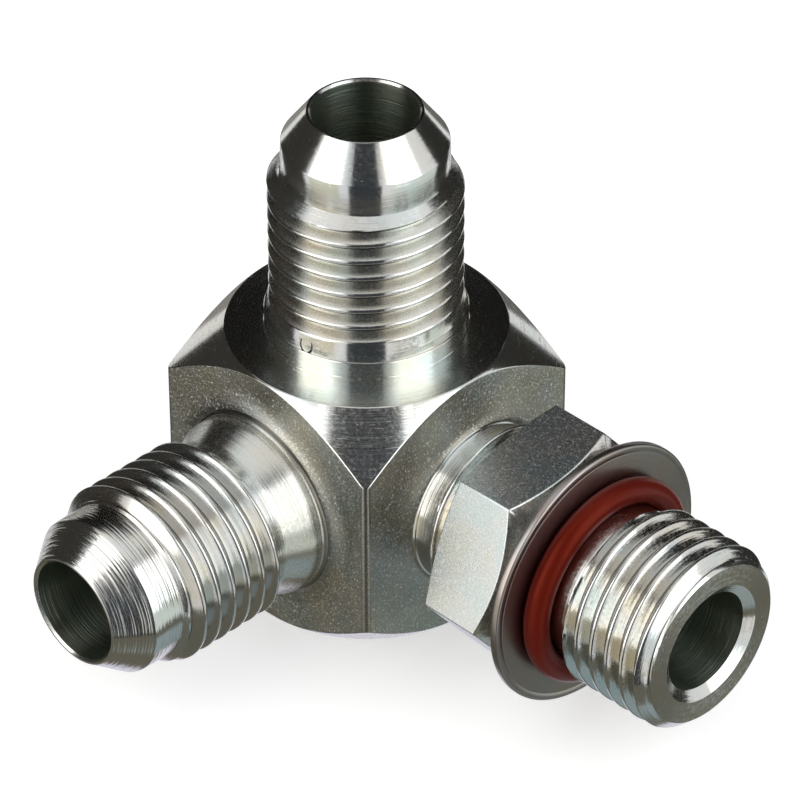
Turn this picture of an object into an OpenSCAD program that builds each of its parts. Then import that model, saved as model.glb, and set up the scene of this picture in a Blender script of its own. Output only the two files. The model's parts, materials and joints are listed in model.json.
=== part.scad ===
// Three-way corner fitting for hydraulic tube. A square steel block carries a flare
// leg going up, a second flare leg to the side and an adjustable O-ring stud leg,
// and their three bores meet at right angles.
// The origin is the centre of the turned base face. +Z runs up the top leg,
// +X along the stud leg and -Y along the side leg. Sizes are in millimetres.
// A station is a distance along a leg, counted from the point where the bores meet.

/* [Block] */
// Width of the square block across its side faces
block_w = 20.8; // [20:0.1:24]
// Radius of the block's four upright edges
edge_r = 0.55; // [0.2:0.05:1.5]
// Height of the block's top face above the crossing of the bores
top_rise = 10.25; // [9.5:0.05:11.5]
// Depth of the base face below the crossing of the bores
base_drop = 11.0; // [10:0.1:13]
// Diameter of the flat that the turned chamfer leaves at the top and at the base
end_flat_d = 20.6; // [18:0.1:20.8]
// Slope of the turned chamfers, from the block's end faces
chamfer_angle = 44; // [35:1:50]

/* [Bores] */
// Diameter of the three bores
bore_d = 7.7; // [6:0.1:8.2]
// Width of the edge break at the mouth of a flare leg
mouth_break = 0.15; // [0.05:0.05:0.3]
// Diameter of the countersink at the stud's end
sink_d = 9.2; // [8.6:0.1:10.4]
// Depth of that countersink
sink_depth = 0.5; // [0.2:0.05:1]
// Full angle of the drill point at the blind end of each bore
drill_angle = 118; // [90:1:140]

/* [Thread] */
// Outer diameter of the thread on all three legs
thread_d = 14.1; // [13.9:0.05:14.5]
// Distance from one crest to the next
pitch = 1.411; // [1.25:0.001:1.6]
// Width of the flat at the bottom of a groove
groove_flat = 0.2; // [0.1:0.05:0.35]
// Height of the thread as a share of its pitch
thread_height = 0.613; // [0.5:0.01:0.65]

/* [Flare nose] */
// Diameter of the short cylinder behind the cone
nose_d = 12.04; // [11.4:0.02:12.6]
// Length of that cylinder
nose_len = 2.5; // [1.5:0.1:3]
// Half angle of the sealing cone
flare_angle = 37; // [30:1:45]
// Width of the flat rim round the mouth
rim_land = 0.18; // [0.1:0.02:0.4]
// Length of the chamfer that leads into the thread
lead_len = 0.75; // [0.4:0.05:1]

/* [Top leg] */
// From the crossing to the tip of the top leg
top_len = 28.6; // [28:0.1:34]
// Number of turns of its thread
top_turns = 7; // [5:1:7]
// From the foot of its nose back to the middle of the first groove
top_groove = 1.15; // [0.9:0.05:1.6]
// How far the collar under the thread stands out past the crests
collar_step = 0.42; // [0.2:0.02:0.8]
// Height of that collar above the block
collar_h = 1.65; // [1:0.05:2]

/* [Side leg] */
// From the crossing to the tip of the side leg
side_len = 29.05; // [28:0.05:34]
// Number of turns of its thread
side_turns = 5; // [4:1:5]
// From the foot of its nose back to the middle of the first groove
side_groove = 1.9; // [0.9:0.05:2]
// How far its root fillet stands out from the block
side_root_h = 0.8; // [0.4:0.05:1.2]
// Diameter of the plain shoulder past the fillet
shoulder_d = 13.9; // [13.4:0.1:13.9]
// Length of that shoulder
shoulder_len = 1.05; // [0.6:0.05:1.4]
// Slope of the cone from the shoulder down to the thread relief
relief_angle = 30; // [25:1:45]

/* [Stud leg] */
// From the crossing to the end of the stud
stud_len = 34.1; // [33.5:0.1:36]
// Length of the thread at the stud's end
front_len = 8.15; // [7.8:0.05:8.5]
// Length of the plain seat between the two threads, which holds the O-ring
seat_len = 4.4; // [4:0.05:4.8]
// How much smaller that seat is than the thread root, in radius
seat_drop = 0.08; // [0:0.01:0.2]
// From the stud's end back to the middle of the first groove
stud_groove = 1.15; // [0.9:0.05:1.4]
// Number of turns of the thread at the stud's end
front_turns = 5; // [4:1:5]
// Number of turns of the thread under the locknut
rear_turns = 5; // [3:1:5]
// How far its root fillet stands out from the block
stud_root_h = 0.5; // [0.4:0.05:1.2]
// Width and length of the chamfer at the stud's end
end_chamfer = 0.85; // [0.4:0.05:1]

/* [Roots] */
// How far the root fillets of the side and stud legs spread over the block's face
root_w = 1.5; // [0.8:0.1:2]
// Step from the top of the fillet down to the turned neck
root_step = 0.15; // [0.05:0.05:0.4]
// Extra width of the first crest, next to the neck
first_crest = 0.2; // [0.1:0.05:0.5]

/* [Locknut] */
// Width of the locknut across its flats
nut_af = 17.0; // [16.6:0.1:19]
// Length of its hexagon
nut_h = 6.15; // [5:0.05:6.5]
// Length of the round boss that bears on the washer
boss_len = 1.05; // [0.4:0.05:1.2]
// Diameter of that boss
boss_d = 16.2; // [15.4:0.1:16.6]
// Slope of the chamfer on the corners that face the washer
nut_chamfer = 30; // [15:1:35]
// Slope of the small chamfer on the corners that face the block
back_chamfer = 16; // [10:1:30]
// Diameter of the flat face inside that chamfer
back_face_d = 16.6; // [15.6:0.1:16.8]
// Turn of the hexagon about the stud
nut_turn = 39; // [0:1:59]

/* [Backup washer] */
// Outer diameter of the washer
washer_d = 20.3; // [19:0.1:21.5]
// Thickness of the washer
washer_t = 0.65; // [0.4:0.05:1]
// From the stud's end back to the washer's front face
washer_set = 11.05; // [10.8:0.05:11.4]
// Rounding of the washer's outer edge
washer_edge = 0.2; // [0.05:0.05:0.25]

/* [O-ring] */
// Thickness of the O-ring's cord
oring_t = 1.9; // [1.6:0.02:2]

/* [Clearances] */
// Running clearance of the locknut over the crests, in radius
nut_clear = 0.05; // [0.02:0.01:0.1]
// Clearance of the washer over the crests, in radius
washer_clear = 0.1; // [0.05:0.01:0.2]
// Gap left where the O-ring, the washer and the nut bear on each other
seat_gap = 0.04; // [0.02:0.01:0.1]

/* [Hidden] */

$fn = 96;
// What a cut runs past a face, so that it cuts clean
past = 1;
arc_steps = 8;

half_w = block_w / 2;
bore_r = bore_d / 2;
crest_r = thread_d / 2;
root_r = crest_r - thread_height * pitch;
flank = (crest_r - root_r) * tan(30);
nose_r = nose_d / 2;
mouth_r = bore_r + mouth_break;
rim_r = mouth_r + rim_land;
cone_len = (nose_r - rim_r) / tan(flare_angle);
nose_back = cone_len + nose_len;
collar_r = crest_r + collar_step;
seat_r = root_r - seat_drop;
drill_point = bore_r / tan(drill_angle / 2);

washer_r = washer_d / 2;
washer_front = stud_len - washer_set;
washer_back = washer_front - washer_t;
nut_front = washer_back - seat_gap;
hex_front = nut_front - boss_len;
nut_back = hex_front - nut_h;
nut_corner_r = nut_af / 2 / cos(30);
oring_r = seat_r + seat_gap + oring_t / 2;
oring_at = washer_front + seat_gap + oring_t / 2;

// Outlines are lists of [radius, station] points, from the crossing to the tip.
// They give each leg as it is turned, before its thread is cut.

// A hollow quarter curve from [r0 + w, s0] in to [r0, s0 + h].
function hollow(r0, w, s0, h) = [for (i = [0:arc_steps])
    let (t = 90 * i / arc_steps) [r0 + w * (1 - sin(t)), s0 + h * (1 - cos(t))]];

// The root of the side or stud leg: the fillet, and the step to the neck's radius r.
function root_outline(r, h) = concat(
    [[0, 0], [r + root_step + root_w, 0]],
    hollow(r + root_step, root_w, half_w, h),
    [[r, half_w + h + root_step]]);

// The lead chamfer, the nose and the cone of a flare leg that ends at station tip.
function nose_outline(tip) = [
    [crest_r, tip - nose_back - lead_len], [nose_r, tip - nose_back],
    [nose_r, tip - cone_len], [rim_r, tip], [0, tip]];

function top_outline() =
    let (land = top_len - nose_back - top_groove - (top_turns - 0.5) * pitch)
    concat(
        [[0, 0], [collar_r, 0], [collar_r, top_rise + collar_h],
            [collar_r - collar_step / 2, top_rise + collar_h], [crest_r, land]],
        nose_outline(top_len));

function side_outline() =
    let (shoulder_r = shoulder_d / 2,
        shoulder = half_w + side_root_h + root_step + shoulder_len,
        land = side_len - nose_back - side_groove - (side_turns - 0.5) * pitch - first_crest)
    concat(
        root_outline(shoulder_r, side_root_h),
        [[shoulder_r, shoulder], [root_r, shoulder + (shoulder_r - root_r) / tan(relief_angle)],
            [root_r, land - flank], [crest_r, land]],
        nose_outline(side_len));

function stud_outline() =
    let (front = stud_len - front_len, rear = front - seat_len,
        land = rear - flank - (rear_turns + 0.5) * pitch - first_crest)
    concat(
        root_outline(root_r, stud_root_h),
        [[root_r, land - flank], [crest_r, land], [crest_r, rear - flank], [seat_r, rear],
            [seat_r, front], [crest_r, front + flank],
            [crest_r, stud_len - end_chamfer], [crest_r - end_chamfer, stud_len], [0, stud_len]]);

module lathe(outline) {
    rotate_extrude() polygon(outline);
}

// The thread as a row of rings, the last one with its middle at station last.
module grooves(last, turns) {
    wide = groove_flat / 2 + flank + past * tan(30);
    for (i = [0:turns - 1]) translate([0, 0, last - i * pitch])
        lathe([[root_r, -groove_flat / 2], [crest_r + past, -wide],
            [crest_r + past, wide], [root_r, groove_flat / 2]]);
}

// Places a leg drawn up the Z axis: its station zero goes to the crossing.
module up() {
    translate([0, 0, base_drop]) children();
}

module along_side() {
    up() rotate([90, 0, 0]) children();
}

module along_stud() {
    up() rotate([0, 90, 0]) children();
}

// The square bar with rounded upright edges, turned down to a cone at each end.
module block() {
    height = base_drop + top_rise;
    flat_r = end_flat_d / 2;
    wide_r = half_w * sqrt(2);
    drop = (wide_r - flat_r) * tan(chamfer_angle);
    intersection() {
        union() {
            for (turn = [0, 90]) rotate(turn)
                translate([-half_w, edge_r - half_w, 0])
                    cube([block_w, block_w - 2 * edge_r, height]);
            for (x = [-1, 1], y = [-1, 1])
                translate([x * (half_w - edge_r), y * (half_w - edge_r), 0])
                    cylinder(r = edge_r, h = height);
        }
        lathe([[0, 0], [flat_r, 0], [wide_r, drop], [wide_r, height - drop],
            [flat_r, height], [0, height]]);
    }
}

// The hollow of one leg: drill point, bore and widened mouth.
module bore(length, end_r, depth) {
    lathe([[0, -drill_point], [bore_r, 0], [bore_r, length - depth], [end_r, length],
        [end_r, length + past], [0, length + past]]);
}

module top_leg() {
    difference() {
        lathe(top_outline());
        grooves(top_len - nose_back - top_groove, top_turns);
    }
}

module side_leg() {
    difference() {
        lathe(side_outline());
        grooves(side_len - nose_back - side_groove, side_turns);
    }
}

// The seat for the O-ring parts the stud's thread in two.
module stud_leg() {
    rear = stud_len - front_len - seat_len;
    difference() {
        lathe(stud_outline());
        grooves(stud_len - stud_groove, front_turns);
        grooves(rear - flank - pitch, rear_turns);
    }
}

module fitting_body() {
    color("silver") difference() {
        union() {
            block();
            up() top_leg();
            along_side() side_leg();
            along_stud() stud_leg();
        }
        up() bore(top_len, mouth_r, mouth_break);
        along_side() bore(side_len, mouth_r, mouth_break);
        along_stud() bore(stud_len, sink_d / 2, sink_depth);
    }
}

// A turned ring with its boss and chamfers, milled to a hexagon.
module locknut() {
    inner_r = crest_r + nut_clear;
    boss_r = boss_d / 2;
    back_r = back_face_d / 2;
    wide_r = nut_corner_r + past;
    color("lightsteelblue") along_stud() intersection() {
        lathe([[inner_r, nut_back], [back_r, nut_back],
            [wide_r, nut_back + (wide_r - back_r) * tan(back_chamfer)],
            [wide_r, hex_front - (wide_r - boss_r) * tan(nut_chamfer)],
            [boss_r, hex_front], [boss_r, nut_front], [inner_r, nut_front]]);
        translate([0, 0, nut_back]) rotate(nut_turn)
            cylinder(r = nut_corner_r, h = nut_front - nut_back, $fn = 6);
    }
}

module backup_washer() {
    inner_r = crest_r + washer_clear;
    color("gainsboro") along_stud() lathe([
        [inner_r, washer_back], [washer_r - washer_edge, washer_back],
        [washer_r, washer_back + washer_edge], [washer_r, washer_front - washer_edge],
        [washer_r - washer_edge, washer_front], [inner_r, washer_front]]);
}

module o_ring() {
    color("firebrick") along_stud() translate([0, 0, oring_at])
        rotate_extrude() translate([oring_r, 0]) circle(d = oring_t);
}

fitting_body();
locknut();
backup_washer();
o_ring();
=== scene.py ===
"""Dresses a three-way corner tube fitting: its steel body, locknut, backup washer and O-ring."""
import json
from math import atan2, cos, floor, pi, radians, sin, tan, tau

import bmesh
import bpy
from bpy.props import FloatProperty, FloatVectorProperty, PointerProperty
from mathutils import Matrix, Vector


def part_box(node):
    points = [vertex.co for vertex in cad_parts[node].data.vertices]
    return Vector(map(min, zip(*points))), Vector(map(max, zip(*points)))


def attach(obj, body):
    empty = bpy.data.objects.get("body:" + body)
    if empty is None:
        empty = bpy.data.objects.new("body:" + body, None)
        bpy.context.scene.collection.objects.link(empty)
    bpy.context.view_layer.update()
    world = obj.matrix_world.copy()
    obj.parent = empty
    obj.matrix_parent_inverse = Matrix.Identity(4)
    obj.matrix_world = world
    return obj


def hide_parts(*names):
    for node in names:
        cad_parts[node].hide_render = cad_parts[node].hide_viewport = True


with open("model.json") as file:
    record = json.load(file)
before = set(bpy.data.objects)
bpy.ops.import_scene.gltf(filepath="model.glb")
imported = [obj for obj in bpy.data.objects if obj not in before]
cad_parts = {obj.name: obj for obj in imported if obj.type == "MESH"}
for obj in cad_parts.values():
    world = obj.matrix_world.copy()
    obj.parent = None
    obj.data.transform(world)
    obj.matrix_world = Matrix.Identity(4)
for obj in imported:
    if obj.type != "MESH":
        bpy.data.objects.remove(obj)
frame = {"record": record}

bl_info = {
    "name": "Corner Tube Fitting",
    "version": (1, 0, 0),
    "blender": (4, 5, 0),
    "location": "View3D > Sidebar > Fitting",
    "description": "Builds the visible pieces of a plated corner tube fitting on its frame",
    "category": "Object",
}

MM = 0.001
MOUNTS = {mount["name"]: mount for mount in frame["record"]["mounts"]}
BODY_LOW, BODY_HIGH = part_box("fitting_body")
NUT_LOW, NUT_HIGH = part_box("locknut")
WASHER_LOW, WASHER_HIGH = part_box("backup_washer")
RING_LOW, RING_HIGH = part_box("o_ring")
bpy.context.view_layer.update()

# The three bores cross at this point, and every station on a leg is measured from it.
CROSSING = Vector((0, 0, MOUNTS["side_port"]["pos_m"][2]))
TOP_TIP = BODY_HIGH.z - CROSSING.z
SIDE_TIP = -BODY_LOW.y
STUD_TIP = BODY_HIGH.x
HALF_BLOCK = -BODY_LOW.x
BORE = MOUNTS["top_port"]["dims"]["r_mm"] * MM
CREST = MOUNTS["top_thread"]["dims"]["r_mm"] * MM

# The station of one thread crest on each leg.
TOP_CREST, SIDE_CREST, STUD_CREST = 16.33 * MM, 18.57 * MM, 29.41 * MM

# Facets round a leg, round the block, and round the nut and the washer.
LEG_FACETS, BLOCK_FACETS, NUT_FACETS = 120, 240, 180

# Places of the body's finishes, some with painted light and shade in their colours, in its list of
# materials.
TURNED_UP, TURNED_SIDE, TURNED_STUD, TURNED_BLOCK, BLASTED = range(5)
BORED_UP, BORED_SIDE, BORED_STUD = range(5, 8)
# The root place on the next line holds painted shade: a dark copy of the plating for thread roots,
# a neck line and a nick.
THREADED_UP, THREADED_SIDE, THREADED_STUD, PAINTED_SHADE, CUT_CONE = range(8, 13)
SATIN_NECK, WORN_EDGE, LIT_FACED_END = range(13, 16)
THREADED = {TURNED_UP: THREADED_UP, TURNED_SIDE: THREADED_SIDE, TURNED_STUD: THREADED_STUD}

# Places of the nut's finishes in its list of materials.
NUT_TURNED, NUT_MILLED = range(2)

# How Z is turned to run along each leg, and the leg's own direction.
AXES = {"up": ((0, 0, 0), (0, 0, 1)), "side": ((radians(90), 0, 0), (0, -1, 0)),
        "stud": ((0, radians(90), 0), (1, 0, 0))}

# Each leg is drawn up the Z axis from the crossing and then turned to its place.
UP = Matrix.Translation(CROSSING)
ALONG_SIDE = UP @ Matrix.Rotation(radians(90), 4, "X")
ALONG_STUD = UP @ Matrix.Rotation(radians(90), 4, "Y")

# Name, azimuth, elevation, distance, width, height, power and colour of each soft box.
LAMPS = (
    ("left_box", -102, 22, 0.5, 0.34, 0.6, 1.1, (1.0, 0.985, 0.94)),
    ("right_box", 10, 22, 0.5, 0.36, 0.6, 1.1, (0.94, 0.99, 1.0)),
)
# Name, azimuth, elevation, distance, width, height and colour of each card.
CARDS = (
    ("front_card", -45, -4, 0.4, 0.3, 0.98, (0.045, 0.05, 0.056)),
    ("front_high_card", -45, 56, 0.4, 0.27, 0.141, (0.045, 0.05, 0.056)),
    ("back_card", 137, 47, 0.4, 0.42, 0.24, (0.012, 0.011, 0.01)),
    ("back_low_card", 138, 24, 0.4, 0.8, 0.24, (0.012, 0.011, 0.01)),
    ("back_left_card", -157, 4, 0.4, 0.443, 0.84, (0.045, 0.042, 0.038)),
    ("far_left_card", 153, -14, 0.4, 0.155, 0.245, (0.3, 0.29, 0.27)),
    ("back_right_card", 78, 4, 0.4, 0.29, 0.84, (0.034, 0.034, 0.031)),
    ("far_right_card", 117, -14, 0.4, 0.155, 0.245, (0.16, 0.16, 0.15)),
    ("left_apron", -100, -18, 0.55, 0.4, 0.3, (0.78, 0.73, 0.58)),
    ("right_apron", 24, -22, 0.55, 0.64, 0.4, (0.8, 0.88, 0.84)),
    ("low_right_card", 22, -60, 0.25, 0.22, 0.13, (0.34, 0.41, 0.43)),
    ("under_card", 135, -52, 0.25, 0.2, 0.24, (0.85, 0.83, 0.95)),
    ("floor_card", -45, -90, 0.3, 0.82, 0.82, (0.16, 0.155, 0.125)),
)


def size(name, value, text):
    """A length property, given in millimetres and kept in metres."""
    return FloatProperty(name=name, description=text, default=value * MM, unit="LENGTH",
                         subtype="DISTANCE", precision=5)


def tilt(name, value, text):
    """An angle property, given in degrees and kept in radians."""
    return FloatProperty(name=name, description=text, default=radians(value), subtype="ANGLE")


def tone(name, value, text):
    """A colour property, in linear light."""
    return FloatVectorProperty(name=name, description=text, default=value, min=0, max=1,
                               subtype="COLOR")


class FittingBodySettings(bpy.types.PropertyGroup):
    """Sizes and colours of the block and its three legs."""
    top_rise: size("Top face", 10.25, "Height of the block's top face above the crossing")
    end_flat: size("End flat", 10.3, "Radius of the flat that the turned chamfers leave")
    chamfer_angle: tilt("Chamfer slope", 44, "Slope of the turned chamfers from the end faces")
    edge_round: size("Upright edges", 0.55, "Radius of the block's four upright edges")
    edge_break: size("Edge break", 0.09, "Width of the break on the block's machined edges")
    pitch: size("Pitch", 1.411, "Distance from one thread crest to the next")
    thread_depth: size("Thread depth", 0.865, "From a crest down to a root")
    nose: size("Nose", 6.02, "Radius of the short cylinder behind a flare cone")
    nose_length: size("Nose length", 2.5, "Length of that cylinder")
    cone_length: size("Cone length", 2.44, "Length of a flare cone")
    lead_length: size("Lead", 0.75, "Length of the chamfer between nose and thread")
    rim: size("Rim", 0.33, "Width of the rim round the mouth of a flare leg")
    side_spread: size("Side root spread", 2.0, "How far the side leg's fillet spreads on its face")
    stud_spread: size("Stud root spread", 3.4, "How far the stud's fillet spreads on its face")
    plating: tone("Plating", (0.66, 0.66, 0.64), "Bright plating of the turned faces")
    blasted: tone("Blasted faces", (0.36, 0.36, 0.33), "Plating of the block's four sides")
    bores: tone("Bores", (0.4, 0.44, 0.37), "Walls of the three bores")


class LocknutSettings(bpy.types.PropertyGroup):
    """Sizes and colours of the locknut."""
    half_flats: size("Half flats", 8.5, "Half the width across the nut's flats")
    boss: size("Boss", 8.1, "Radius of the round boss that bears on the washer")
    boss_length: size("Boss length", 1.05, "Length of that boss")
    back_face: size("Back face", 8.3, "Radius of the flat face towards the block")
    turn: tilt("Turn", 39, "Turn of the hexagon about the stud")
    edge_break: size("Edge break", 0.09, "Width of the break on the nut's edges")
    plating: tone("Plating", (0.72, 0.72, 0.7), "Bright plating of the turned faces")
    flats: tone("Flats", (0.55, 0.575, 0.575), "Satin plating of the six flats")


class BackupWasherSettings(bpy.types.PropertyGroup):
    """Sizes and colour of the backup washer."""
    bore: size("Bore", 7.15, "Radius of the washer's hole")
    edge_round: size("Edge", 0.16, "Rounding of the washer's outer edge")
    scribe: size("Scribed line", 0.6, "Distance of the scribed line from the rim")
    plating: tone("Plating", (0.38, 0.345, 0.33), "Plating of the washer")


class ORingSettings(bpy.types.PropertyGroup):
    """Colour of the O-ring."""
    rubber: tone("Rubber", (0.105, 0.008, 0.004), "Colour of the moulded rubber")


class StageSettings(bpy.types.PropertyGroup):
    """Place and lens of the camera, and colour of the floor."""
    azimuth: tilt("Azimuth", 45.1, "Turn of the camera about the upright axis")
    elevation: tilt("Elevation", 36.92, "Height angle of the camera")
    roll: tilt("Roll", -0.08, "Turn of the camera about its own axis")
    distance: size("Distance", 358.25, "From the camera to the plane through the crossing")
    aside: size("Aside", 2.41, "How far right of the crossing the camera aims")
    above: size("Above", 2.53, "How far above the crossing the camera aims")
    lens: FloatProperty(name="Lens", description="Focal length in millimetres, on a 36 mm sensor",
                        default=219.06, min=1, subtype="DISTANCE_CAMERA")
    floor: tone("Floor", (0.9, 0.9, 0.9), "Colour of the floor")


def ride(obj, body, node):
    """Lets an object ride on a body and stand for the body's node."""
    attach(obj, body)
    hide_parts(node)


def smooth(obj, sharp_angle):
    """Shades smooth up to an angle in degrees, with large faces kept flat."""
    for polygon in obj.data.polygons:
        polygon.use_smooth = True
    obj.data.set_sharp_from_angle(angle=radians(sharp_angle))
    normals = obj.modifiers.new("weighted_normals", "WEIGHTED_NORMAL")
    normals.keep_sharp = True


def as_object(bm, name, materials):
    """Makes an object of a bmesh, with its materials, and frees the bmesh."""
    mesh = bpy.data.meshes.new(name)
    bm.to_mesh(mesh)
    bm.free()
    for material in materials:
        mesh.materials.append(material)
    obj = bpy.data.objects.new(name, mesh)
    bpy.context.scene.collection.objects.link(obj)
    return obj


def combine(base, others, operation):
    """Applies boolean modifiers to base, one for each other solid, and removes those."""
    for other in others:
        modifier = base.modifiers.new("combine", "BOOLEAN")
        modifier.operation = operation
        modifier.solver = "MANIFOLD"
        modifier.object = other
    bpy.context.view_layer.update()
    evaluated = base.evaluated_get(bpy.context.evaluated_depsgraph_get())
    mesh = bpy.data.meshes.new_from_object(evaluated)
    base.modifiers.clear()
    base.data = mesh
    for other in others:
        bpy.data.objects.remove(other)


def lathe(bm, outline, facets, material=0):
    """Spins an outline of (radius, station) points about Z, and closes the poles."""
    points = [bm.verts.new((radius, 0, station)) for radius, station in outline]
    edges = [bm.edges.new(pair) for pair in zip(points, points[1:])]
    before = set(bm.faces)
    bmesh.ops.spin(bm, geom=points + edges, cent=(0, 0, 0), axis=(0, 0, 1), angle=tau,
                   steps=facets, use_merge=True, use_duplicate=False)
    for face in set(bm.faces) - before:
        face.material_index = material


def weld(bm):
    """Merges what meets and turns the faces outwards."""
    bmesh.ops.remove_doubles(bm, verts=bm.verts, dist=MM * 0.002)
    bmesh.ops.dissolve_degenerate(bm, edges=bm.edges, dist=MM * 0.0005)
    bmesh.ops.recalc_face_normals(bm, faces=bm.faces)


def mill(bm, side, reach, material):
    """Cuts off all that lies past a plane, and closes the cut with one flat face."""
    cut = bmesh.ops.bisect_plane(bm, geom=bm.verts[:] + bm.edges[:] + bm.faces[:],
                                 plane_co=side * reach, plane_no=side, clear_outer=True)
    rim = [edge for edge in cut["geom_cut"] if isinstance(edge, bmesh.types.BMEdge)]
    for face in bmesh.ops.edgeloop_fill(bm, edges=rim)["faces"]:
        face.material_index = material


def break_edges(bm, sharp_angle, width, material=None):
    """Rounds the edges sharper than an angle in degrees, or only those at one material."""
    bmesh.ops.recalc_face_normals(bm, faces=bm.faces)
    sharp = [edge for edge in bm.edges if len(edge.link_faces) == 2
             and edge.calc_face_angle() > radians(sharp_angle)
             and (material is None
                  or any(face.material_index == material for face in edge.link_faces))]
    bmesh.ops.bevel(bm, geom=sharp, offset=width, offset_type="OFFSET", segments=2,
                    profile=0.5, affect="EDGES", material=-1)


def arc(centre_radius, centre_station, radius, start, end, steps):
    """Points on a circle in the outline's plane, from angle start to end in degrees."""
    angles = [radians(start + (end - start) * i / steps) for i in range(steps + 1)]
    return [(centre_radius + radius * cos(a), centre_station + radius * sin(a)) for a in angles]


def outline_from(radius, station, steps):
    """Outline points, given as steps in millimetres out from a radius and on from a station."""
    return [(radius + out * MM, station + on * MM) for out, on in steps]


def radius_at(outline, station):
    """Radius of an outline at a station, between its points."""
    for (r0, s0), (r1, s1) in zip(outline, outline[1:]):
        if s0 <= station <= s1 and s1 > s0:
            return r0 + (r1 - r0) * (station - s0) / (s1 - s0)
    return outline[0][0] if station < outline[0][1] else outline[-1][0]


def thread_depth_at(across, depth):
    """Depth of the V at a distance from the middle of a crest: flat, eased shoulder and flank."""
    flat = 0.04 * MM
    ease = 0.16 * MM
    slope = 1 / tan(radians(30))
    past = across - flat
    if past <= 0:
        return 0.0
    if past < ease:
        return slope * past * past / (2 * ease)
    return min(depth, slope * (past - ease / 2))


def helix(bm, first, end, pitch, facets):
    """A tube at the crests' radius, of rows that climb by one pitch a turn, from first to end."""
    half_rows = [0, 0.04, 0.08, 0.12, 0.16, 0.2, 0.35, 0.5, 0.6, 0.65]
    rows = [row * MM for row in half_rows] + [pitch / 2]
    rows += [pitch - row for row in reversed(rows[:-1])]
    points = [bm.verts.new((CREST, 0, first + row)) for row in rows]
    edges = [bm.edges.new(pair) for pair in zip(points, points[1:])]
    bmesh.ops.spin(bm, geom=points + edges, cent=(0, 0, 0), axis=(0, 0, 1),
                   dvec=(0, 0, pitch / facets), angle=tau, steps=facets,
                   use_merge=False, use_duplicate=False)
    one_turn = bm.verts[:] + bm.edges[:] + bm.faces[:]
    for turn in range(1, int((end - first) / pitch) + 2):
        copy = bmesh.ops.duplicate(bm, geom=one_turn)["geom"]
        bmesh.ops.translate(bm, vec=(0, 0, pitch * turn),
                            verts=[v for v in copy if isinstance(v, bmesh.types.BMVert)])


def threaded_stretch(bm, blank, crest_station, sizes, material, runout):
    """Cuts the thread into a blank's outline; a groove fades out between runout's stations."""
    pitch, depth = sizes.pitch, sizes.thread_depth
    start, end = blank[0][1], blank[-1][1]
    first = crest_station - pitch * (int((crest_station - start) / pitch) + 2)
    helix(bm, first, end, pitch, LEG_FACETS)
    cuts = {}
    for vert in bm.verts:
        angle = atan2(vert.co.y, vert.co.x)
        turned = (vert.co.z - crest_station - pitch * angle / tau) / pitch
        groove = crest_station + pitch * (angle / tau + floor(turned) + 0.5)
        cut = thread_depth_at(abs(turned - round(turned)) * pitch, depth)
        if runout:
            cut *= min(1, max(0, (groove - runout[0]) / (runout[1] - runout[0])))
        station = min(max(vert.co.z, start), end)
        blank_radius = radius_at(blank, station)
        radius = min(blank_radius, max(blank_radius, CREST) - cut)
        vert.co = (radius * cos(angle), radius * sin(angle), station)
        cuts[vert] = blank_radius - radius
    # Faces cut nearly to full depth are the roots and take painted shade; faces past the crest
    # take their leg's flank colour, which holds painted light and shade.
    root_cut, flank_cut = depth * 0.9, depth * 0.08
    for face in bm.faces:
        cut = sum(cuts[vert] for vert in face.verts) / len(face.verts)
        threaded = PAINTED_SHADE if cut > root_cut else THREADED[material]
        face.material_index = threaded if cut > flank_cut else material


def leg_mesh(inner, blank, outer, crest_station, sizes, place, material, blasted_to=0,
             dark_from=None, neck_material=None, tip_material=None, runout=None):
    """A whole leg as one closed solid, from the outlines of its neck, thread and tip.

    The neck is blasted up to the station blasted_to, with a line of painted shade, in the dark
    root colour, that starts at dark_from.
    """
    plain = bmesh.new()
    lathe(plain, inner, LEG_FACETS, material if neck_material is None else neck_material)
    lathe(plain, outer, LEG_FACETS, material if tip_material is None else tip_material)
    ends = bpy.data.meshes.new("leg_ends")
    plain.to_mesh(ends)
    plain.free()
    bm = bmesh.new()
    threaded_stretch(bm, blank, crest_station, sizes, material, runout)
    bm.from_mesh(ends)
    bpy.data.meshes.remove(ends)
    weld(bm)
    for face in bm.faces:
        station = face.calc_center_median().z
        if station < blasted_to:
            # Between dark_from and blasted_to the neck takes painted shade, the dark root colour,
            # as a line below the ring.
            dark = dark_from is not None and station > dark_from
            face.material_index = PAINTED_SHADE if dark else BLASTED
    bmesh.ops.transform(bm, matrix=place, verts=bm.verts)
    return bm


def block_mesh(sizes):
    """A lathe shape with a cone at each end, milled to a square with rounded upright edges."""
    flat = sizes.end_flat
    wide = HALF_BLOCK * 1.5
    drop = (wide - flat) * tan(sizes.chamfer_angle)
    base = -CROSSING.z
    bm = bmesh.new()
    lathe(bm, [(0, base), (flat, base), (wide, base + drop), (wide, sizes.top_rise - drop),
               (flat, sizes.top_rise), (0, sizes.top_rise)], BLOCK_FACETS, TURNED_BLOCK)
    weld(bm)
    for face in bm.faces:
        # The end faces take a real faced finish, whose colour is made brighter and cooler than the
        # plating as painted light.
        if abs(face.normal.z) > 0.99:
            face.material_index = LIT_FACED_END
    core = HALF_BLOCK - sizes.edge_round
    planes = 24
    for plane in range(planes):
        angle = plane * tau / planes
        side = Vector((cos(angle), sin(angle), 0))
        if plane % (planes // 4) == 0:
            mill(bm, side, HALF_BLOCK, BLASTED)
        else:
            reach = core * (abs(side.x) + abs(side.y)) + sizes.edge_round
            mill(bm, side, reach, WORN_EDGE)
    break_edges(bm, 25, sizes.edge_break)
    bmesh.ops.transform(bm, matrix=UP, verts=bm.verts)
    return bm


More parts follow.
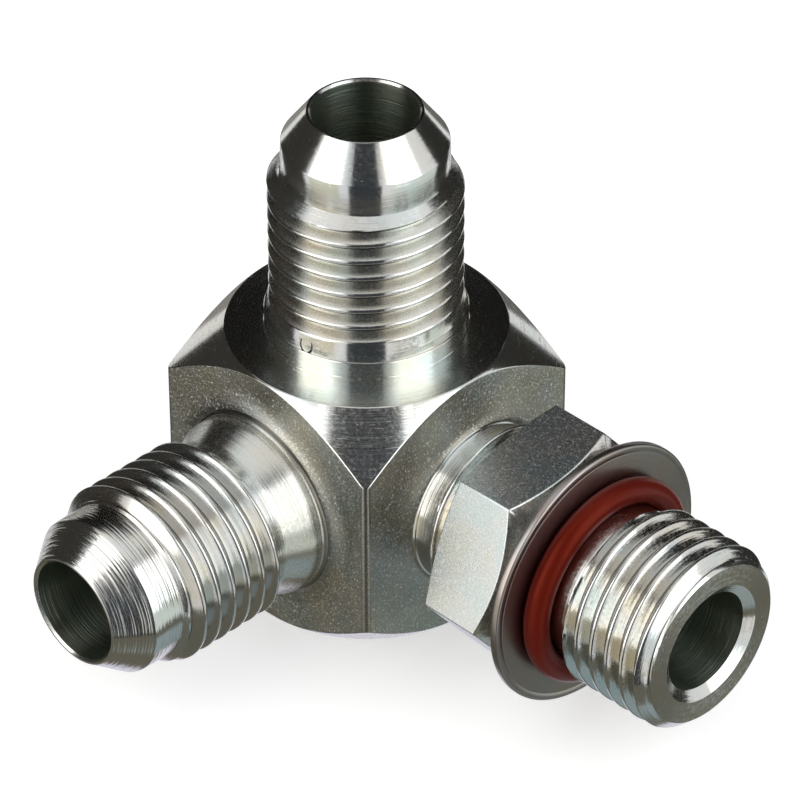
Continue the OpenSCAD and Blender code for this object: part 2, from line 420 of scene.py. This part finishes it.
def root_outline(neck, height, spread):
    """Points of a root fillet, from inside the block out to the neck's radius."""
    step = 0.15 * MM
    sunk = HALF_BLOCK - 3 * MM
    base = HALF_BLOCK - 0.01 * MM
    count = 10
    points = [(0, sunk), (neck + step + spread, sunk)]
    for i in range(count + 1):
        turn = radians(90 * i / count)
        points.append((neck + step + spread * (1 - sin(turn)), base + height * (1 - cos(turn))))
    return points + [(neck + step * 0.3, base + height + 0.05 * MM), (neck, base + height + step)]


def nose_outline(tip, sizes):
    """The nose, the cone and the rim of a flare leg, from the foot of the nose to the tip."""
    cone = tip - sizes.cone_length
    foot = cone - sizes.nose_length
    return (outline_from(sizes.nose, foot, [(0, 0), (0.03, 0.9), (0.03, 1.6)])
            + outline_from(sizes.nose, cone, [(0, -0.06), (-0.04, 0.04)])
            + outline_from(BORE + sizes.rim, tip, [(0.03, -0.04), (-0.03, 0)]) + [(0, tip)])


def top_leg(sizes):
    """The upright leg: a stepped collar, and a thread that runs out above it."""
    top = sizes.top_rise
    foot = TOP_TIP - sizes.cone_length - sizes.nose_length
    inner = [(0, top - 3 * MM)]
    inner += outline_from(CREST + 0.42 * MM, top, [
        (0, -3), (0, 0.35), (-0.05, 0.4), (-0.05, 1.6), (-0.1, 1.65), (-0.2, 1.67),
        (-0.24, 2.2)])
    blank = [inner[-1], (CREST, top + 3.1 * MM), (CREST, foot - sizes.lead_length),
             (sizes.nose, foot)]
    start = inner[-1][1]
    return leg_mesh(inner, blank, nose_outline(TOP_TIP, sizes), TOP_CREST, sizes, UP, TURNED_UP,
                    runout=(start + 0.3 * MM, start + 1.2 * MM))


def side_leg(sizes):
    """The side leg: a fillet, a plain neck with a ring groove, a relief and the thread."""
    foot = SIDE_TIP - sizes.cone_length - sizes.nose_length
    root = CREST - sizes.thread_depth
    shoulder = CREST - 0.1 * MM
    inner = root_outline(shoulder, 0.8 * MM, sizes.side_spread)
    inner += outline_from(shoulder, inner[-1][1], [(-0.14, 0.08), (-0.14, 0.18), (0, 0.26),
                                                   (0, 1.05)])
    inner += outline_from(root, 0, [(0, 13.9), (0, 14.6)])
    blank = [inner[-1], (root, 15.16 * MM), (CREST, 15.66 * MM),
             (CREST, foot - sizes.lead_length), (sizes.nose, foot)]
    return leg_mesh(inner, blank, nose_outline(SIDE_TIP, sizes), SIDE_CREST, sizes, ALONG_SIDE,
                    TURNED_SIDE, HALF_BLOCK + 0.84 * MM, HALF_BLOCK + 0.55 * MM, SATIN_NECK,
                    CUT_CONE)


def stud_leg(sizes):
    """The stud: a fillet, the locknut's thread, the O-ring's seat and the end thread."""
    root = CREST - sizes.thread_depth
    seat = root - 0.08 * MM
    inner = root_outline(root, 0.85 * MM, sizes.stud_spread) + [(root, 12.4 * MM)]
    rear = STUD_TIP - 12.55 * MM
    front = STUD_TIP - 8.15 * MM
    lead = 0.5 * MM
    blank = [inner[-1], (root, 12.59 * MM), (CREST, 13.09 * MM), (CREST, rear - lead),
             (seat, rear), (seat, front), (CREST, front + lead),
             (CREST, STUD_TIP - sizes.thread_depth), (root, STUD_TIP)]
    return leg_mesh(inner, blank, [(root, STUD_TIP), (0, STUD_TIP)], STUD_CREST, sizes,
                    ALONG_STUD, TURNED_STUD, HALF_BLOCK + 0.75 * MM)


def bore_mesh(tip, mouth, depth, place, bored, turned):
    """The hollow of one leg: drill point and bore, and a mouth with the leg's own finish."""
    bm = bmesh.new()
    past = tip + 1 * MM
    lathe(bm, [(0, -BORE * 0.6), (BORE, 0), (BORE, tip - depth), (mouth, tip), (mouth, past),
               (0, past)], LEG_FACETS)
    weld(bm)
    for face in bm.faces:
        at_mouth = face.calc_center_median().z > tip - depth
        face.material_index = turned if at_mouth else bored
    bmesh.ops.transform(bm, matrix=place, verts=bm.verts)
    return bm


def nick_mesh():
    """A ring as thin as a hair, sunk in the land under the top thread: one small tool mark,
    coloured with the painted shade of the thread roots.
    """
    bm = bmesh.new()
    lathe(bm, arc(0.5 * MM, 0, 0.085 * MM, 0, 360, 8), 32, PAINTED_SHADE)
    weld(bm)
    bmesh.ops.scale(bm, vec=(1.25, 1, 1), verts=bm.verts)
    place = (UP @ Matrix.Rotation(radians(-81), 4, "Z")
             @ Matrix.Translation((CREST + 0.18 * MM, 0, 12.45 * MM))
             @ Matrix.Rotation(radians(90), 4, "Y"))
    bmesh.ops.transform(bm, matrix=place, verts=bm.verts)
    return bm


def new_group(name, inputs, outputs):
    """A shader node group with the named sockets, given as (name, socket type, default)."""
    group = bpy.data.node_groups.new(name, "ShaderNodeTree")
    for direction, sockets in (("INPUT", inputs), ("OUTPUT", outputs)):
        for socket, kind, default in sockets:
            made = group.interface.new_socket(name=socket, in_out=direction, socket_type=kind)
            if default is not None:
                made.default_value = default
    start = group.nodes.new("NodeGroupInput")
    end = group.nodes.new("NodeGroupOutput")
    return group, start.outputs, end.inputs


def add_node(tree, kind, links=(), **settings):
    """Adds a node, sets its properties, and links or sets its inputs from (socket, source)."""
    node = tree.nodes.new(kind)
    for name, value in settings.items():
        setattr(node, name, value)
    link(tree, node, links)
    return node


def link(tree, node, links):
    """Links or sets a node's inputs from (socket, source) pairs."""
    for socket, source in links:
        if isinstance(source, bpy.types.NodeSocket):
            tree.links.new(source, node.inputs[socket])
        else:
            node.inputs[socket].default_value = source


def scalar(tree, operation, *values):
    """A number worked out from others."""
    return add_node(tree, "ShaderNodeMath", enumerate(values), operation=operation).outputs[0]


def vector(tree, operation, *values, output=0):
    """A vector worked out from others, or with the output "Value" a number."""
    node = add_node(tree, "ShaderNodeVectorMath", enumerate(values), operation=operation)
    return node.outputs[output]


def xyz(tree, *values):
    """A vector of up to three numbers."""
    return add_node(tree, "ShaderNodeCombineXYZ", enumerate(values)).outputs[0]


def remap(tree, value, low, high, new_low, new_high):
    """A number taken from one range to another and kept inside it."""
    values = enumerate((value, low, high, new_low, new_high))
    return add_node(tree, "ShaderNodeMapRange", values).outputs[0]


def noise(tree, place, scale, detail, *more):
    """Noise at a place, at a scale per metre where the place is in metres."""
    links = [("Vector", place), ("Scale", scale), ("Detail", detail), *more]
    return add_node(tree, "ShaderNodeTexNoise", links).outputs[0]


def bump(tree, height, depth, *more):
    """A normal tilted by a height, whose full range is depth metres."""
    return add_node(tree, "ShaderNodeBump", [("Height", height), ("Distance", depth),
                                             *more]).outputs[0]


def turning_lines(name):
    """Fine rings that a lathe tool leaves: a tilted normal, a mask of the rings, and marks."""
    group, given, made = new_group(
        name,
        [("Coordinates", "NodeSocketVector", None), ("Depth", "NodeSocketFloat", 0.001 * MM),
         ("Rings per metre", "NodeSocketFloat", 6000.0), ("Breaks", "NodeSocketFloat", 0.6)],
        [("Normal", "NodeSocketVector", None), ("Rings", "NodeSocketFloat", None),
         ("Marks", "NodeSocketFloat", None)])
    x, y, z = add_node(group, "ShaderNodeSeparateXYZ", [(0, given["Coordinates"])]).outputs
    radius = vector(group, "LENGTH", xyz(group, x, y), output="Value")
    turn = scalar(group, "ARCTAN2", y, x)
    across = scalar(group, "MULTIPLY", radius, given["Rings per metre"])
    along = scalar(group, "MULTIPLY", z, given["Rings per metre"])
    around = scalar(group, "MULTIPLY", turn, given["Breaks"])
    rings = noise(group, xyz(group, across, along, around), 1.0, 2.0)
    short = scalar(group, "MULTIPLY", turn, 4.0)
    broken = noise(group, xyz(group, across, along, short), 1.3, 1.0)
    group.links.new(bump(group, rings, given["Depth"]), made["Normal"])
    group.links.new(rings, made["Rings"])
    group.links.new(remap(group, broken, 0.69, 0.76, 0.0, 1.0), made["Marks"])
    return group


def plating(name):
    """Bright zinc plating: its colour with faint clouds, and a mask of duller spots."""
    group, given, made = new_group(
        name,
        [("Coordinates", "NodeSocketVector", None),
         ("Colour", "NodeSocketColor", (0.8, 0.8, 0.8, 1)),
         ("Clouds per metre", "NodeSocketFloat", 260.0), ("Tint", "NodeSocketFloat", 0.1)],
        [("Colour", "NodeSocketColor", None), ("Dull", "NodeSocketFloat", None)])
    clouds = noise(group, given["Coordinates"], given["Clouds per metre"], 3.0)
    ramp = add_node(group, "ShaderNodeValToRGB", [(0, clouds)])
    warm, cool = ramp.color_ramp.elements
    warm.position, warm.color = 0.38, (1.0, 0.93, 0.78, 1)
    cool.position, cool.color = 0.62, (0.8, 0.96, 1.0, 1)
    ramp.color_ramp.elements.new(0.5).color = (1, 1, 1, 1)
    tinted = add_node(group, "ShaderNodeMix",
                      [("Factor", given["Tint"]), (6, given["Colour"]), (7, ramp.outputs[0])],
                      data_type="RGBA", blend_type="MULTIPLY")
    spots = noise(group, given["Coordinates"], 4000.0, 2.0)
    group.links.new(tinted.outputs[2], made["Colour"])
    group.links.new(remap(group, spots, 0.45, 0.75, 0.0, 1.0), made["Dull"])
    return group


def blasted_grain(name):
    """The fine grain of a blasted face over slow waves: a tilted normal and a mask of specks."""
    group, given, made = new_group(
        name,
        [("Coordinates", "NodeSocketVector", None), ("Depth", "NodeSocketFloat", 0.01 * MM),
         ("Grains per metre", "NodeSocketFloat", 4500.0), ("Wave depth", "NodeSocketFloat", 0.0)],
        [("Normal", "NodeSocketVector", None), ("Specks", "NodeSocketFloat", None)])
    place, grains = given["Coordinates"], given["Grains per metre"]
    grain = noise(group, place, grains, 3.0, ("Roughness", 0.65))
    waved = bump(group, noise(group, place, 200.0, 1.0), given["Wave depth"])
    specks = noise(group, place, grains, 1.0, ("Distortion", 1.0))
    group.links.new(bump(group, grain, given["Depth"], ("Normal", waved)), made["Normal"])
    group.links.new(remap(group, specks, 0.55, 0.74, 0.0, 1.0), made["Specks"])
    return group


GROUPS = {"Turning lines": turning_lines, "Zinc plating": plating,
          "Blasted grain": blasted_grain}


def shared_group(tree, name, *links):
    """Places one of the groups above, which is built on its first use."""
    group = bpy.data.node_groups.get(name) or GROUPS[name](name)
    return add_node(tree, "ShaderNodeGroup", links, node_tree=group).outputs


def new_material(name, colour, roughness, metallic=1.0):
    """A material with its node tree and its Principled shader."""
    material = bpy.data.materials.new(name)
    material.use_nodes = True
    shader = material.node_tree.nodes["Principled BSDF"]
    link(material.node_tree, shader, [("Metallic", metallic), ("Base Color", (*colour, 1)),
                                      ("Roughness", roughness)])
    return material, material.node_tree, shader


def turned_steel(name, along, colour, roughness=(0.16, 0.26), anisotropic=0.8, lines=0.01,
                 tint=0.35, marks=0.25):
    """Bright turned and plated steel, whose reflections stretch across the tool's lines.

    The lines are so many millimetres deep. Marks are short dull streaks along them.
    """
    material, tree, shader = new_material(name, colour, roughness[0])
    turn, axis = AXES[along]
    centre = tuple(CROSSING)
    place = add_node(tree, "ShaderNodeMapping",
                     [(0, add_node(tree, "ShaderNodeTexCoord").outputs["Object"]),
                      ("Location", centre), ("Rotation", turn)],
                     vector_type="TEXTURE").outputs[0]
    rings = shared_group(tree, "Turning lines", ("Coordinates", place), ("Depth", lines * MM))
    coat = shared_group(tree, "Zinc plating", ("Coordinates", place), ("Colour", (*colour, 1)),
                        ("Tint", tint))
    dull = scalar(tree, "MULTIPLY", coat["Dull"], rings["Rings"])
    rough = remap(tree, dull, 0.0, 0.5, *roughness)
    streaks = scalar(tree, "MULTIPLY", rings["Marks"], marks)
    marked = add_node(tree, "ShaderNodeMix", [(0, streaks), (2, rough), (3, 0.55)]).outputs[0]
    surface = add_node(tree, "ShaderNodeNewGeometry").outputs
    from_axis = vector(tree, "SUBTRACT", surface["Position"], centre)
    around = vector(tree, "CROSS_PRODUCT", axis, from_axis)
    across = vector(tree, "CROSS_PRODUCT", around, surface["Normal"])
    link(tree, shader, [("Base Color", coat["Colour"]), ("Roughness", marked),
                        ("Normal", rings["Normal"]), ("Tangent", across),
                        ("Anisotropic", anisotropic)])
    return material


def satin_steel(name, colour, roughness, depth, grains, tint, specks, waves=0.0):
    """Plated steel with a fine matt grain and bright specks. Depth and waves are in mm."""
    material, tree, shader = new_material(name, colour, roughness)
    place = add_node(tree, "ShaderNodeTexCoord").outputs["Object"]
    grain = shared_group(tree, "Blasted grain", ("Coordinates", place), ("Depth", depth * MM),
                         ("Grains per metre", grains), ("Wave depth", waves * MM))
    coat = shared_group(tree, "Zinc plating", ("Coordinates", place), ("Colour", (*colour, 1)),
                        ("Tint", tint))
    lit = add_node(tree, "ShaderNodeMix",
                   [("Factor", scalar(tree, "MULTIPLY", grain["Specks"], specks)),
                    (6, coat["Colour"]), (7, (0.95, 0.93, 0.88, 1))], data_type="RGBA")
    rough = remap(tree, grain["Specks"], 0.0, 1.0, roughness, roughness + 0.4 * specks)
    link(tree, shader, [("Base Color", lit.outputs[2]), ("Roughness", rough),
                        ("Normal", grain["Normal"])])
    return material


def moulded_rubber(name, colour):
    """Smooth moulded rubber, whose sheen takes the rubber's own tint."""
    material, tree, shader = new_material(name, colour, 0.32, 0.0)
    place = add_node(tree, "ShaderNodeTexCoord").outputs["Object"]
    grain = shared_group(tree, "Blasted grain", ("Coordinates", place), ("Depth", 0.002 * MM))
    link(tree, shader, [("Normal", grain["Normal"]), ("Specular IOR Level", 0.4),
                        ("Specular Tint", (1.0, 0.17, 0.09, 1))])
    return material


def shade(colour, *parts):
    """A colour with its red, green and blue each taken to a part."""
    return tuple(channel * part for channel, part in zip(colour, parts))


def steel_finishes(settings):
    """The body's finishes, with painted light and shade in some colours, in the order of their
    places in its list of materials.
    """
    bright = settings.plating
    turned_looks = {"up": {}, "side": {"lines": 0.02, "roughness": (0.2, 0.28)},
                    "stud": {"lines": 0.015}}
    # Each leg's thread flanks get their own shade of the one plating, as painted light and shade:
    # warm and bright on the upright leg, darkest on the side leg.
    lit_and_shaded_flanks = {
        "up": ((0.985, 0.962, 0.922), {"roughness": (0.24, 0.3), "lines": 0.007}),
        "side": ((0.91, 0.895, 0.89), {"roughness": (0.16, 0.22), "lines": 0.012}),
        "stud": ((0.95, 0.945, 0.94), {"roughness": (0.12, 0.3), "lines": 0.018, "tint": 0.5,
                                       "marks": 0.8})}
    turned = [turned_steel("turned_" + along, along, bright, **look)
              for along, look in turned_looks.items()]
    bored = [turned_steel("bored_" + along, along, settings.bores, roughness=(0.3, 0.34),
                          lines=0.05) for along in AXES]
    threaded = [turned_steel("threaded_" + along, along, shade(bright, *parts),
                             anisotropic=0.6, **look)
                for along, (parts, look) in lit_and_shaded_flanks.items()]
    block = turned_steel("turned_block", "up", bright, lines=0.015, marks=0.8)
    blasted = satin_steel("blasted_faces", settings.blasted, roughness=0.3, depth=0.03,
                          grains=8000.0, tint=0.6, specks=1.0, waves=0.16)
    # Painted shade: a dark copy of the plating for the thread roots, the line on the side neck and
    # the nick.
    root = turned_steel("painted_shade", "up", shade(bright, 0.303, 0.288, 0.266),
                        roughness=(0.35, 0.45))
    cone = turned_steel("cut_cone", "side", bright, roughness=(0.16, 0.2), lines=0.05)
    neck = turned_steel("satin_neck", "side", shade(bright, 0.94, 0.94, 0.92),
                        roughness=(0.26, 0.34), anisotropic=0.7, lines=0.02)
    edge = turned_steel("worn_edge", "up", shade(bright, 0.758, 0.758, 0.734),
                        roughness=(0.18, 0.26), anisotropic=0.0, lines=0.004)
    # The faced ends: a real faced finish, with a colour brighter and cooler than the plating as
    # painted light on the top face.
    lit_faced = turned_steel("lit_faced_end", "up", shade(bright, 1.06, 1.12, 1.11),
                         roughness=(0.2, 0.26), anisotropic=0.9, lines=0.015, marks=0.4)
    return turned + [block, blasted] + bored + threaded + [root, cone, neck, edge, lit_faced]


def nut_finishes(settings):
    """The nut's turned faces and its flats, in the order of their places."""
    return [turned_steel("nut_turned", "stud", settings.plating, roughness=(0.2, 0.36),
                         anisotropic=0.4),
            satin_steel("nut_flats", settings.flats, roughness=0.26, depth=0.004,
                        grains=6000.0, tint=0.4, specks=0.4)]


class FITTING_OT_body(bpy.types.Operator):
    """Turns, threads and bores the fitting's body"""
    bl_idname = "fitting.body"
    bl_label = "Fitting Body"

    def execute(self, context):
        settings = context.scene.fitting_body
        steel = steel_finishes(settings)
        body = as_object(block_mesh(settings), "plated_body", steel)
        legs = [as_object(top_leg(settings), "top_leg", steel),
                as_object(side_leg(settings), "side_leg", steel),
                as_object(stud_leg(settings), "stud_leg", steel)]
        combine(body, legs, "UNION")
        edge = 0.15 * MM
        cuts = {"top_bore": bore_mesh(TOP_TIP, BORE + edge, edge, UP, BORED_UP, TURNED_UP),
                "side_bore": bore_mesh(SIDE_TIP, BORE + edge, edge, ALONG_SIDE, BORED_SIDE,
                                       TURNED_SIDE),
                "stud_bore": bore_mesh(STUD_TIP, 4.6 * MM, 0.5 * MM, ALONG_STUD, BORED_STUD,
                                       TURNED_STUD),
                "nick": nick_mesh()}
        combine(body, [as_object(cut, name, steel) for name, cut in cuts.items()], "DIFFERENCE")
        smooth(body, 32)
        ride(body, "fitting", "fitting_body")
        return {"FINISHED"}


class FITTING_OT_locknut(bpy.types.Operator):
    """Turns the locknut and mills its six flats"""
    bl_idname = "fitting.locknut"
    bl_label = "Locknut"

    def execute(self, context):
        settings = context.scene.fitting_locknut
        inner = CREST + 0.05 * MM
        back, front = NUT_LOW.x, NUT_HIGH.x
        wide = settings.half_flats * 1.3
        hex_front = front - settings.boss_length
        back_slope, front_slope = tan(radians(16)), tan(radians(30))
        bm = bmesh.new()
        lathe(bm, [(inner, back), (settings.back_face, back),
                   (wide, back + (wide - settings.back_face) * back_slope),
                   (wide, hex_front - (wide - settings.boss) * front_slope),
                   (settings.boss, hex_front), (settings.boss, front), (inner, front),
                   (inner, back)], NUT_FACETS, NUT_TURNED)
        weld(bm)
        for flat in range(6):
            turn = settings.turn + radians(30) + flat * pi / 3
            side = Matrix.Rotation(turn, 3, "Z") @ Vector((1, 0, 0))
            mill(bm, side, settings.half_flats, NUT_MILLED)
        break_edges(bm, 20, settings.edge_break, NUT_MILLED)
        bmesh.ops.transform(bm, matrix=ALONG_STUD, verts=bm.verts)
        nut = as_object(bm, "plated_locknut", nut_finishes(settings))
        smooth(nut, 32)
        ride(nut, "locknut", "locknut")
        return {"FINISHED"}


class FITTING_OT_backup_washer(bpy.types.Operator):
    """Stamps the backup washer"""
    bl_idname = "fitting.backup_washer"
    bl_label = "Backup Washer"

    def execute(self, context):
        settings = context.scene.fitting_backup_washer
        outer = WASHER_HIGH.y
        back, front = WASHER_LOW.x, WASHER_HIGH.x
        edge = settings.edge_round
        outline = [(settings.bore, back)]
        outline += arc(outer - edge, back + edge, edge, -90, 0, 4)
        outline += arc(outer - edge, front - edge, edge, 0, 90, 4)
        outline += outline_from(outer - settings.scribe, front, [(0.03, 0), (0, -0.02),
                                                                 (-0.03, 0)])
        outline += [(settings.bore, front), (settings.bore, back)]
        bm = bmesh.new()
        lathe(bm, outline, NUT_FACETS)
        weld(bm)
        bmesh.ops.transform(bm, matrix=ALONG_STUD, verts=bm.verts)
        steel = turned_steel("washer_steel", "stud", settings.plating, roughness=(0.28, 0.34),
                             anisotropic=0.3, lines=0.004)
        washer = as_object(bm, "plated_washer", [steel])
        smooth(washer, 50)
        ride(washer, "washer", "backup_washer")
        return {"FINISHED"}


class FITTING_OT_o_ring(bpy.types.Operator):
    """Moulds the O-ring"""
    bl_idname = "fitting.o_ring"
    bl_label = "O-Ring"

    def execute(self, context):
        cord = (RING_HIGH.x - RING_LOW.x) / 2
        middle = (RING_HIGH.x + RING_LOW.x) / 2
        bm = bmesh.new()
        lathe(bm, arc(RING_HIGH.y - cord, middle, cord, 0, 360, 28), 160)
        weld(bm)
        bmesh.ops.transform(bm, matrix=ALONG_STUD, verts=bm.verts)
        rubber = moulded_rubber("brown_red_rubber", context.scene.fitting_o_ring.rubber)
        ring = as_object(bm, "moulded_o_ring", [rubber])
        smooth(ring, 60)
        ride(ring, "fitting", "o_ring")
        return {"FINISHED"}


class FITTING_OT_stage(bpy.types.Operator):
    """Sets the camera, the floor and the lights"""
    bl_idname = "fitting.stage"
    bl_label = "Stage"

    def execute(self, context):
        settings = context.scene.fitting_stage
        add_camera(settings)
        add_floor(settings.floor)
        add_world()
        for lamp in LAMPS:
            add_lamp(*lamp)
        for card in CARDS:
            add_card(*card)
        context.scene.view_settings.view_transform = "Standard"
        return {"FINISHED"}


def add_camera(settings):
    """Aims a long lens at the crossing of the bores, a little up and to the right of it."""
    az, el = settings.azimuth, settings.elevation
    back = Vector((sin(az) * cos(el), -cos(az) * cos(el), sin(el)))
    right = Vector((cos(az), sin(az), 0))
    up = back.cross(right)
    turn = Matrix.Rotation(settings.roll, 3, back)
    right, up = turn @ right, turn @ up
    data = bpy.data.cameras.new("camera")
    data.lens = settings.lens
    data.sensor_width = 36
    data.clip_start = 0.01
    camera = bpy.data.objects.new("camera", data)
    place = Matrix((right, up, back)).transposed().to_4x4()
    place.translation = (CROSSING + back * settings.distance + right * settings.aside
                         + up * settings.above)
    camera.matrix_world = place
    bpy.context.scene.collection.objects.link(camera)
    bpy.context.scene.camera = camera


def add_floor(colour):
    """A floor that the camera sees as white, with the object's shadow on it."""
    bm = bmesh.new()
    bmesh.ops.create_grid(bm, x_segments=1, y_segments=1, size=3)
    material, tree, shader = new_material("floor", colour, 0.95, 0.0)
    seen = add_node(tree, "ShaderNodeLightPath").outputs["Is Camera Ray"]
    link(tree, shader, [("Emission Color", (1, 1, 1, 1)),
                        ("Emission Strength", scalar(tree, "MULTIPLY", seen, 0.48))])
    floor_plane = as_object(bm, "floor", [material])
    floor_plane.visible_glossy = False


def facing_crossing(azimuth, elevation, distance):
    """The place of a thing that faces the crossing, from angles in degrees and metres."""
    az, el = radians(azimuth), radians(elevation)
    out = Vector((cos(az) * cos(el), sin(az) * cos(el), sin(el)))
    turn = out.to_track_quat("Z", "Y").to_matrix().to_4x4()
    return Matrix.Translation(CROSSING + out * distance) @ turn


def add_card(name, azimuth, elevation, distance, width, height, colour):
    """A card round the object that only reflections show, facing the crossing."""
    bm = bmesh.new()
    bmesh.ops.create_grid(bm, x_segments=1, y_segments=1, size=0.5)
    bmesh.ops.scale(bm, vec=(width, height, 1), verts=bm.verts)
    bmesh.ops.transform(bm, matrix=facing_crossing(azimuth, elevation, distance),
                        verts=bm.verts)
    material = bpy.data.materials.new(name)
    material.use_nodes = True
    tree = material.node_tree
    tree.nodes.remove(tree.nodes["Principled BSDF"])
    glow = add_node(tree, "ShaderNodeEmission", [("Color", (*colour, 1))])
    tree.links.new(glow.outputs[0], tree.nodes["Material Output"].inputs["Surface"])
    card = as_object(bm, name, [material])
    card.visible_camera = card.visible_diffuse = card.visible_shadow = False
    card.visible_transmission = False


def add_lamp(name, azimuth, elevation, distance, width, height, power, colour):
    """A soft box that faces the crossing."""
    data = bpy.data.lights.new(name, "AREA")
    data.shape = "RECTANGLE"
    data.size, data.size_y = width, height
    data.energy = power
    data.color = colour
    lamp = bpy.data.objects.new(name, data)
    lamp.matrix_world = facing_crossing(azimuth, elevation, distance)
    lamp.visible_camera = False
    bpy.context.scene.collection.objects.link(lamp)


def add_world():
    """A world that looks white, also in metal, and lights dull faces at about half of that."""
    world = bpy.data.worlds.new("studio")
    world.use_nodes = True
    tree = world.node_tree
    rays = add_node(tree, "ShaderNodeLightPath").outputs
    mirrored = scalar(tree, "MAXIMUM", rays["Is Glossy Ray"], rays["Is Transmission Ray"])
    seen = scalar(tree, "MAXIMUM", rays["Is Camera Ray"], mirrored)
    link(tree, tree.nodes["Background"], [("Color", (1, 1, 1, 1)),
                                          ("Strength", remap(tree, seen, 0.0, 1.0, 0.55, 1.0))])
    bpy.context.scene.world = world


# Each operator with the settings it reads, in the order in which the panel lists them.
PIECES = {FITTING_OT_stage: StageSettings, FITTING_OT_body: FittingBodySettings,
          FITTING_OT_locknut: LocknutSettings, FITTING_OT_backup_washer: BackupWasherSettings,
          FITTING_OT_o_ring: ORingSettings}


def settings_name(operator):
    """Where the scene keeps an operator's settings, such as fitting_body."""
    return operator.bl_idname.replace(".", "_")


class FITTING_PT_panel(bpy.types.Panel):
    """Lists the operators, each above its sizes and colours"""
    bl_idname = "FITTING_PT_panel"
    bl_label = "Corner Tube Fitting"
    bl_space_type = "VIEW_3D"
    bl_region_type = "UI"
    bl_category = "Fitting"

    def draw(self, context):
        for operator, group in PIECES.items():
            box = self.layout.box()
            box.operator(operator.bl_idname)
            settings = getattr(context.scene, settings_name(operator))
            for name in group.__annotations__:
                box.prop(settings, name)


def register():
    for operator, group in PIECES.items():
        bpy.utils.register_class(group)
        bpy.utils.register_class(operator)
        setattr(bpy.types.Scene, settings_name(operator), PointerProperty(type=group))
    bpy.utils.register_class(FITTING_PT_panel)


def unregister():
    bpy.utils.unregister_class(FITTING_PT_panel)
    for operator, group in PIECES.items():
        delattr(bpy.types.Scene, settings_name(operator))
        bpy.utils.unregister_class(operator)
        bpy.utils.unregister_class(group)


def main():
    register()
    bpy.ops.fitting.stage()
    bpy.ops.fitting.body()
    bpy.ops.fitting.locknut()
    bpy.ops.fitting.backup_washer()
    bpy.ops.fitting.o_ring()


if __name__ == "__main__":
    main()
